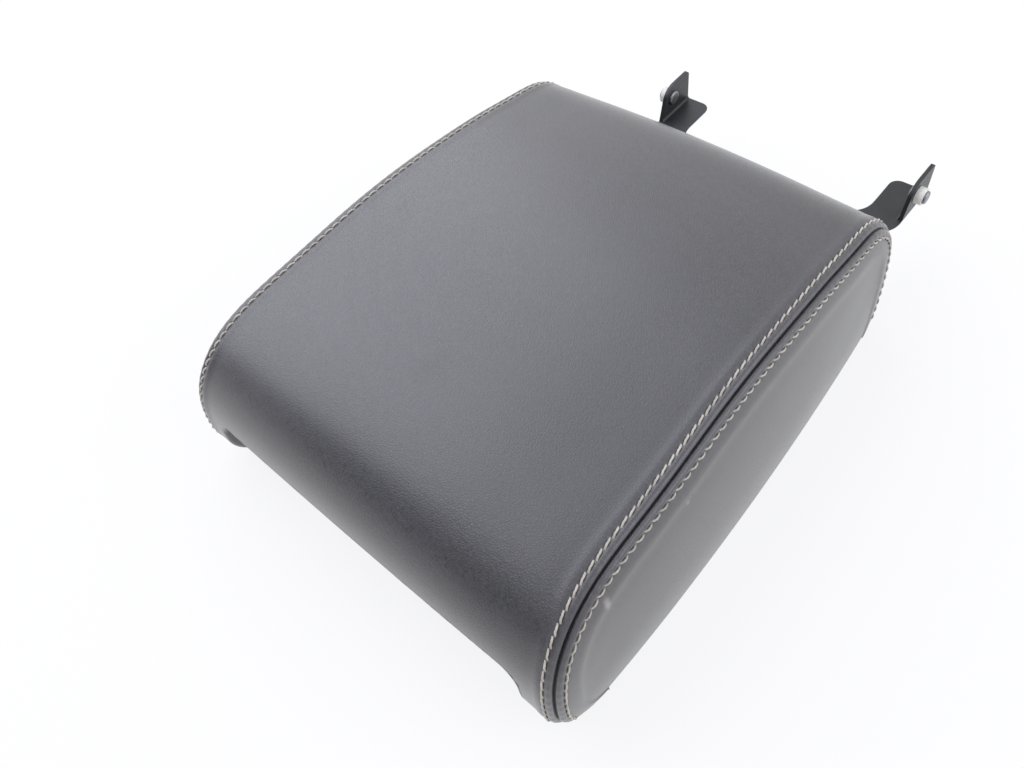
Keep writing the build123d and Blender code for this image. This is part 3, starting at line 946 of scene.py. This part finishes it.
    def cheek_sheet(self, e: dict[str, np.ndarray], side: Side) -> LeatherSheet:
        """Lay out a cheek from its seam down to the sill.

        Args:
            e: rows from edge_frames.
            side: which cheek.

        Returns:
            The sheet in its plain form.
        """
        band = self.band()
        columns = [self.cheek_column(e, away) for away in band]
        arc = self.form.seam_round * e["half"]
        start = self.on_cheek(e, e["tangent"] + band[-1] - arc)[:, 1:]
        base = np.stack([np.linspace(-112, 112, self.rows), np.full(self.rows, -4.0)], axis=1)
        span = np.linalg.norm(base - start, axis=1, keepdims=True)
        away = list(band)
        for k in range(1, self.cheek_columns + 1):
            f = (k / self.cheek_columns) ** 1.15
            place = (1 + 2 * f) * (1 - f) ** 2 * start + f * f * (3 - 2 * f) * base
            place = place + f * (1 - f) ** 2 * span * 0.7 * e["inward"]
            place = place + f * f * (f - 1) * span * 0.7 * np.array((0.0, -1.0))
            columns.append(np.concatenate([self.form.half_width(*place.T)[:, None], place], axis=1))
            away.append(band[-1] + self.cheek_reach * f)
        points = self.form.tuck_chin(np.stack(columns, axis=1)) * np.array((side.value, 1.0, 1.0))
        points = points + np.array((0, self.form.middle_y, 0))
        return LeatherSheet(points, np.array(away), points[..., 2].copy(), self.form.inside)

    def under_top(self, rim: np.ndarray) -> tuple[np.ndarray, np.ndarray, np.ndarray]:
        """Ways in which the top panel's hem turns under the lid."""
        step, (x, y, z) = 0.05, rim.T
        slope_x = self.form.clearance(x + step, z) - self.form.clearance(x - step, z)
        slope_z = self.form.clearance(x, z + step) - self.form.clearance(x, z - step)
        way = -np.stack([slope_x, np.zeros_like(x), slope_z], axis=1)
        under = np.zeros_like(rim)
        under[:, 1] = np.where(y < self.form.middle_y, 1.0, -1.0)
        return way, under, np.full(len(rim), self.hem_depth)

    def under_cheek(self, rim: np.ndarray) -> tuple[np.ndarray, np.ndarray, np.ndarray]:
        """Ways in which a cheek's hem turns under its sill."""
        way = np.tile((0.0, 0.0, -1.0), (len(rim), 1))
        under = np.zeros_like(rim)
        under[:, 0] = -np.sign(rim[:, 0])
        return way, under, np.abs(rim[:, 0]) - self.form.arch_half - self.cheek_hem_round

    def stitches(self, sheet: LeatherSheet, columns: np.ndarray, run: np.ndarray, limits: tuple) -> tuple:
        """Sew one row of stitches into a finished sheet.

        Args:
            sheet: the leather.
            columns: its columns beside the seam, from the seam outwards.
            run: distance along the seam of each row.
            limits: first and last distance that is sewn.

        Returns:
            Places and faces of the threads.
        """
        s, bends, sides = self.seam, 15, 12
        first, last = math.ceil(limits[0] / s.pitch), math.floor(limits[1] / s.pitch)
        begin = np.arange(first, last)[:, None] * s.pitch
        t = np.linspace(0, 1, bends)[None, :]
        along = begin + s.pitch * (0.04 + 0.92 * t)
        away = s.row_at + s.slant * (t - 0.5) + np.zeros_like(along)
        ground, normal = sheet.sample(run, columns, along, away)
        lift = -s.thread_dip + (s.thread_lift + s.thread_dip) * np.sin(np.pi * t) ** 0.55
        line = ground + normal * lift[..., None]
        ahead = unit(np.gradient(line, axis=1))
        across = unit(np.cross(ahead, normal))
        up = np.cross(across, ahead)
        angle = np.linspace(0, 2 * np.pi, sides, endpoint=False)[None, None, :]
        lay = 2.2 * np.pi * t[..., None]
        radius = s.thread_radius * (1 + 0.14 * np.cos(s.plies * (angle - lay)))
        wide, tall = (radius * np.cos(angle))[..., None], (radius * np.sin(angle))[..., None]
        ring = across[:, :, None] * wide + up[:, :, None] * tall
        places = (line[:, :, None] + ring).reshape(-1, 3)
        faces = []
        for k in range(len(begin)):
            base = k * bends * sides
            for i in range(bends - 1):
                for j in range(sides):
                    a, b = base + i * sides + j, base + i * sides + (j + 1) % sides
                    faces.append([a, b, b + sides, a + sides])
            faces.append([base + j for j in range(sides)][::-1])
            faces.append([base + (bends - 1) * sides + j for j in range(sides)])
        return places, faces

    def build(self, leather: bpy.types.Material, thread: bpy.types.Material) -> list[bpy.types.Object]:
        """Make the three panels and the thread of both seams.

        Args:
            leather: finish of the panels.
            thread: finish of the stitches.

        Returns:
            The pieces.
        """
        e = self.edge_frames()
        seam_line = self.form.tuck_chin(self.rounded(e, 0.0, 1.0, e["centre"], e["centre"]))
        run = np.concatenate(([0.0], np.cumsum(np.linalg.norm(np.diff(seam_line, axis=0), axis=1))))
        lowest = np.where(seam_line[:, 1] < 0, self.chin_sewn, self.hem_round + 1.0)
        sewn = run[seam_line[:, 2] > lowest]
        limits = (float(sewn[0]), float(sewn[-1]))
        band_count = len(self.band())
        top = self.top_sheet(e)
        width = top.points.shape[1]
        picked = np.unique(np.linspace(0, width - 1, self.top_swell_columns).astype(int))
        top.swell(self.swell_row_step, picked, self.held_band, self.swell_cap, self.tuck)
        top.raise_by(self.seam.relief(top.away[None, :], run[:, None], self.top_pillow))
        made = [new_piece("top_leather", *top.cut(self.hem_round, self.under_top), leather)]
        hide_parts("top_panel")
        beside = {Side.LEFT: np.arange(band_count), Side.RIGHT: width - 1 - np.arange(band_count)}
        for side in Side:
            name = side.name.lower()
            cheek = self.cheek_sheet(e, side)
            depth = cheek.points.shape[1]
            picked = np.unique(np.linspace(0, depth - 1, self.cheek_swell_columns).astype(int))
            cheek.swell(self.swell_row_step, picked, self.held_band, self.swell_cap, self.tuck)
            cheek.raise_by(self.seam.relief(cheek.away[None, :], run[:, None], self.cheek_pillow))
            hemmed = cheek.cut(self.cheek_hem_round, self.under_cheek)
            panel = new_piece(f"{name}_cheek_leather", *hemmed, leather)
            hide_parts(f"{name}_side_panel")
            places, faces = self.stitches(top, beside[side], run, limits)
            more, rest = self.stitches(cheek, np.arange(band_count), run, limits)
            faces = faces + [[v + len(places) for v in face] for face in rest]
            made += [panel, new_piece(f"{name}_seam_thread", np.concatenate([places, more]), faces, thread)]
        for piece in made:
            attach(piece, "lid")
        return made


@dataclass
class HardParts:
    """The pieces that keep their solids: carrier, liner, hinge, latch and fasteners."""

    finishes: tuple[tuple[Solid, tuple[str, ...]], ...] = (
        (COATED_STEEL, ("left_hinge_bracket", "right_hinge_bracket")),
        (PIN_STEEL, ("left_pivot_pin", "right_pivot_pin", "latch_pin")),
        (BUSH_NYLON, ("left_pivot_bush", "right_pivot_bush")),
        (CARRIER_PLASTIC, ("lid_shell",)),
        (LINER_PLASTIC, ("lid_liner",)),
        (PADDLE_PLASTIC, ("latch_paddle",)),
        (SCREW_STEEL, ("bracket_screws", "liner_screws")),
        (SPRING_STEEL, ("latch_spring",)),
        (INSERT_BRASS, ("bracket_inserts",)),
        (STOP_RUBBER, ("left_bump_stop", "right_bump_stop")),
        (PAD_FOAM, ("foam_pad",)),
    )

    def dress(self) -> list[str]:
        """Give every solid its finish.

        Returns:
            Names of the dressed solids.
        """
        dressed = []
        for finish, names in self.finishes:
            material = finish.build()
            for name in names:
                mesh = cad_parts[name].data
                mesh.materials.clear()
                mesh.materials.append(material)
                dressed.append(name)
        return dressed


@dataclass(frozen=True)
class SoftBox:
    """A soft light aimed at the lid: place and size in metres, power in watts and tint."""

    name: str
    place: tuple[float, float, float]
    size: tuple[float, float]
    power: float
    tint: tuple[float, float, float] = (0.87, 0.88, 1.0)

    def build(self) -> None:
        """Hang the light."""
        data = bpy.data.lights.new(self.name, "AREA")
        data.shape = "RECTANGLE"
        data.size, data.size_y = self.size
        data.energy = self.power
        data.color = self.tint
        made = bpy.data.objects.new(self.name, data)
        made.location = self.place
        made.rotation_mode = "QUATERNION"
        made.rotation_quaternion = (-Vector(self.place)).to_track_quat("-Z", "Y")
        bpy.context.scene.collection.objects.link(made)


@dataclass
class Studio:
    """White floor, a large soft light on the left, a weak one at the rear right, and the camera."""

    camera_place: tuple[float, float, float] = (0.191868, -0.201001, 0.373906)
    right: tuple[float, float, float] = (0.74421, 0.65381, -0.13671)
    down: tuple[float, float, float] = (0.48477, -0.66949, -0.56283)
    forward: tuple[float, float, float] = (-0.45951, 0.35259, -0.81519)
    focal_px: float = 845.67
    image_width: float = 1024.0
    sensor: float = 36.0
    floor_size: float = 8.0
    floor: str = "#fdfdfe"
    floor_glow: float = 0.85
    boxes: tuple[SoftBox, ...] = (
        SoftBox("main_box", (-1.0, 0.0, 1.25), (2.6, 1.5), 25.0),
        SoftBox("side_box", (1.3, 0.5, 0.8), (1.3, 1.0), 9.0),
    )
    fill: float = 0.6
    flag_place: tuple[float, float, float] = (-0.5, -1.2, 0.42)
    flag_size: tuple[float, float] = (1.5, 0.65)

    def camera(self) -> None:
        """Put the camera where the view was taken from."""
        data = bpy.data.cameras.new("camera")
        data.sensor_width = self.sensor
        data.lens = self.focal_px / self.image_width * self.sensor
        data.clip_start = 0.01
        made = bpy.data.objects.new("camera", data)
        axes = (self.right, tuple(-v for v in self.down), tuple(-v for v in self.forward))
        made.matrix_world = Matrix.Translation(self.camera_place) @ Matrix(axes).transposed().to_4x4()
        bpy.context.scene.collection.objects.link(made)
        bpy.context.scene.camera = made

    def seen(self, tree: bpy.types.NodeTree) -> bpy.types.NodeSocket:
        """Whether a ray shows the background: from the camera, a gloss or a clear piece."""
        ray = add_node(tree, "ShaderNodeLightPath")
        total = ray.outputs["Is Camera Ray"]
        for name in ("Is Glossy Ray", "Is Transmission Ray"):
            larger = add_node(tree, "ShaderNodeMath", {0: total, 1: ray.outputs[name]}, operation="MAXIMUM")
            total = larger.outputs[0]
        return total

    def ground(self) -> None:
        """Lay the white floor, which keeps a light shadow."""
        half = self.floor_size / 2 / MM
        corners = [(-half, -half, 0), (half, -half, 0), (half, half, 0), (-half, half, 0)]
        made, tree, _ = blank_material("white_paper")
        paper = add_node(tree, "ShaderNodeBsdfDiffuse", {"Color": linear(self.floor)})
        glow = add_node(tree, "ShaderNodeEmission", {"Color": linear(self.floor), "Strength": 1.0})
        share = add_node(
            tree, "ShaderNodeMath", {0: self.seen(tree), 1: self.floor_glow}, operation="MULTIPLY"
        ).outputs[0]
        mixed = add_node(tree, "ShaderNodeMixShader", {0: share, 1: paper.outputs[0], 2: glow.outputs[0]})
        surface(tree, mixed)
        new_piece("floor", corners, [[0, 1, 2, 3]], made)

    def flag(self) -> None:
        """Stand a dark card at the front left, so that the front curve has something dark to mirror."""
        made, tree, _ = blank_material("black_card")
        surface(tree, add_node(tree, "ShaderNodeBsdfDiffuse", {"Color": linear("#0c0c0d")}))
        wide, tall = (length / 2 / MM for length in self.flag_size)
        corners = [(-wide, -tall, 0), (wide, -tall, 0), (wide, tall, 0), (-wide, tall, 0)]
        card = new_piece("card", corners, [[0, 1, 2, 3]], made)
        place = Vector(self.flag_place)
        card.location = place
        card.rotation_mode = "QUATERNION"
        card.rotation_quaternion = (-place).to_track_quat("Z", "Y")
        card.visible_camera = False
        card.visible_shadow = False

    def light(self) -> None:
        """Hang the soft boxes and set the room's fill."""
        for box in self.boxes:
            box.build()
        world = bpy.data.worlds.new("room")
        world.use_nodes = True
        tree = world.node_tree
        tree.nodes.clear()
        strength = ramp(tree, self.seen(tree), 0.0, 1.0, (self.fill, 1.0))
        back = add_node(tree, "ShaderNodeBackground", {"Color": (1.0, 1.0, 1.0, 1.0), "Strength": strength})
        add_node(tree, "ShaderNodeOutputWorld", {"Surface": back.outputs[0]})
        bpy.context.scene.world = world

    def build(self) -> None:
        """Make camera, floor and light."""
        self.camera()
        self.ground()
        self.flag()
        self.light()
        bpy.context.scene.view_settings.view_transform = "Standard"


def main() -> None:
    """Build the lid piece by piece."""
    logging.basicConfig(level=logging.INFO, format="%(name)s: %(message)s")
    Studio().build()
    log.info("studio ready")
    cover = LeatherCover(CushionForm(), SeamStyle())
    for piece in cover.build(GrainedLeather().build(), TwistedThread().build()):
        log.info("%s: %d faces", piece.name, len(piece.data.polygons))
    for name in HardParts().dress():
        log.info("%s dressed", name)


if __name__ == "__main__":
    main()
